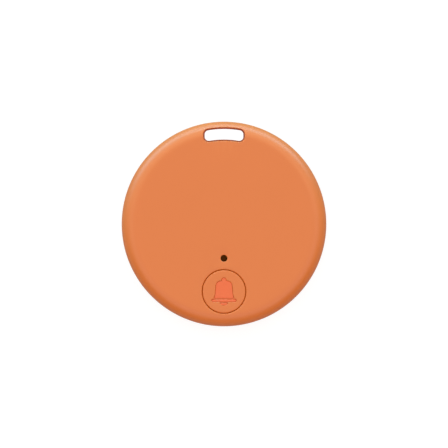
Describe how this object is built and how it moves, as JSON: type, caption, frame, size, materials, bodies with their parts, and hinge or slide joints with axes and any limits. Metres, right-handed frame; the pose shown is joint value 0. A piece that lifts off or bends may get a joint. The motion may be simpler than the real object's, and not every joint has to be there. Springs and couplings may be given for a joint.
{
  "type": "wireless tracker tag",
  "caption": "Round flat orange wireless tracker tag with a lanyard slot, a press button with a bell symbol, a sound hole and a coin-cell door that turns on the back.",
  "frame": {"origin": "centre of the rear face, where the tag rests when it lies face up", "axes": "+Z out of the front face; +Y towards the lanyard slot; +X to the right when the front face is seen with the slot at the top"},
  "size_m": [0.037, 0.037, 0.008],
  "materials": {
    "case_plastic": "satin orange injection-moulded plastic",
    "door_plastic": "satin orange plastic with a fine matte grain",
    "symbol_plastic": "smooth saturated orange inlay",
    "black_plastic": "matte black moulded plastic",
    "stainless_steel": "stamped stainless sheet",
    "spring_steel": "plated spring strip",
    "tinned_metal": "tin-plated copper",
    "board_laminate": "green solder-masked glass-epoxy laminate",
    "screw_steel": "zinc-plated steel",
    "chip_package": "moulded epoxy package",
    "crystal_can": "welded metal can",
    "ferrite": "sintered ferrite",
    "capacitor_ceramic": "fired ceramic",
    "resistor_glaze": "glazed thick film",
    "antenna_ceramic": "white fired ceramic",
    "cell_steel": "nickel-plated steel",
    "gasket_plastic": "black polypropylene",
    "cathode_powder": "pressed dark powder",
    "separator_sheet": "thin white non-woven sheet",
    "lithium_metal": "soft silvery metal",
    "buzzer_brass": "rolled brass sheet",
    "piezo_ceramic": "silvered piezo ceramic",
    "adhesive_ring": "cured adhesive"
  },
  "bodies": {
    "case": {"front_cover": "case_plastic", "rear_cover": "case_plastic", "switch_housing": "black_plastic", "switch_cover": "stainless_steel", "switch_dome": "spring_steel", "switch_terminals": "tinned_metal", "circuit_board": "board_laminate", "board_screws": "screw_steel", "radio_chip": "chip_package", "radio_crystal": "crystal_can", "clock_crystal": "crystal_can", "power_inductor": "ferrite", "bulk_capacitor": "capacitor_ceramic", "chip_capacitors": "capacitor_ceramic", "chip_resistors": "resistor_glaze", "chip_antenna": "antenna_ceramic", "battery_frame": "black_plastic", "positive_contacts": "spring_steel", "negative_contact": "spring_steel", "cell_can": "cell_steel", "cell_cap": "cell_steel", "cell_gasket": "gasket_plastic", "cell_cathode": "cathode_powder", "cell_separator": "separator_sheet", "cell_anode": "lithium_metal", "buzzer_plate": "buzzer_brass", "buzzer_ceramic": "piezo_ceramic", "buzzer_adhesive": "adhesive_ring", "plate_contact": "spring_steel", "ceramic_contact": "spring_steel"},
    "button": {"button_cap": "case_plastic", "button_symbol": "symbol_plastic", "switch_plunger": "black_plastic"},
    "door": {"battery_door": "door_plastic"}
  },
  "joints": [
    {"name": "button_press", "type": "slide", "parent": "case", "child": "button", "axis": [0, 0, -1], "range_m": [0, 0.00025], "stiffness_N_per_m": 6400, "springref_m": -0.00003, "deforming": ["switch_dome"]},
    {"name": "door_turn", "type": "hinge", "parent": "case", "child": "door", "pos_m": [0, 0, 0], "axis": [0, 0, -1], "range_deg": [0, 30]}
  ]
}
